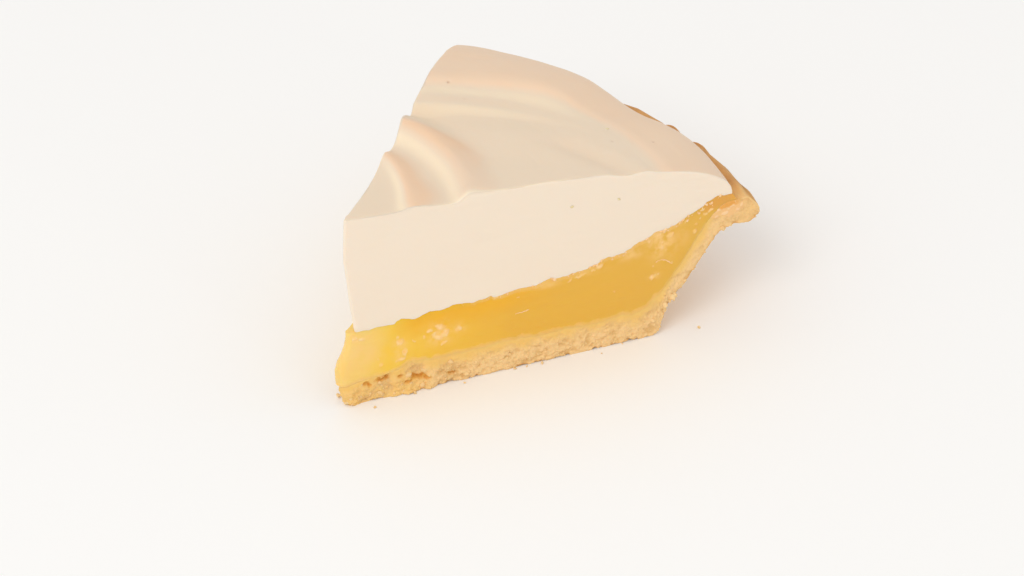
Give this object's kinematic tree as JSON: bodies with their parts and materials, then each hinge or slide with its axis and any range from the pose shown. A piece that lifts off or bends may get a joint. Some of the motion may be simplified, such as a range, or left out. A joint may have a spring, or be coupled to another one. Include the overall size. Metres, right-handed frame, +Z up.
{
  "type": "slice of lemon meringue pie",
  "caption": "Wedge of pie on a pastry crust with a fluted rim: lemon gel filling under a deep meringue cap with curled crests.",
  "frame": {"origin": "centre of the slice's box at its underside", "axes": "+Z up, the point of the slice towards -Y, the rim towards +Y, the cut that the picture shows on the +X side"},
  "size_m": [0.1216, 0.1366, 0.0682],
  "materials": {
    "crust": "baked shortcrust pastry, dry and crumbly, light gold, browner on the rim",
    "lemon_filling": "set lemon gel, wet and slightly translucent",
    "meringue": "soft baked egg-white foam, cream, lightly toasted on top"
  },
  "bodies": {
    "root": {"crust": "crust", "lemon_filling": "lemon_filling", "meringue": "meringue"}
  },
  "joints": []
}
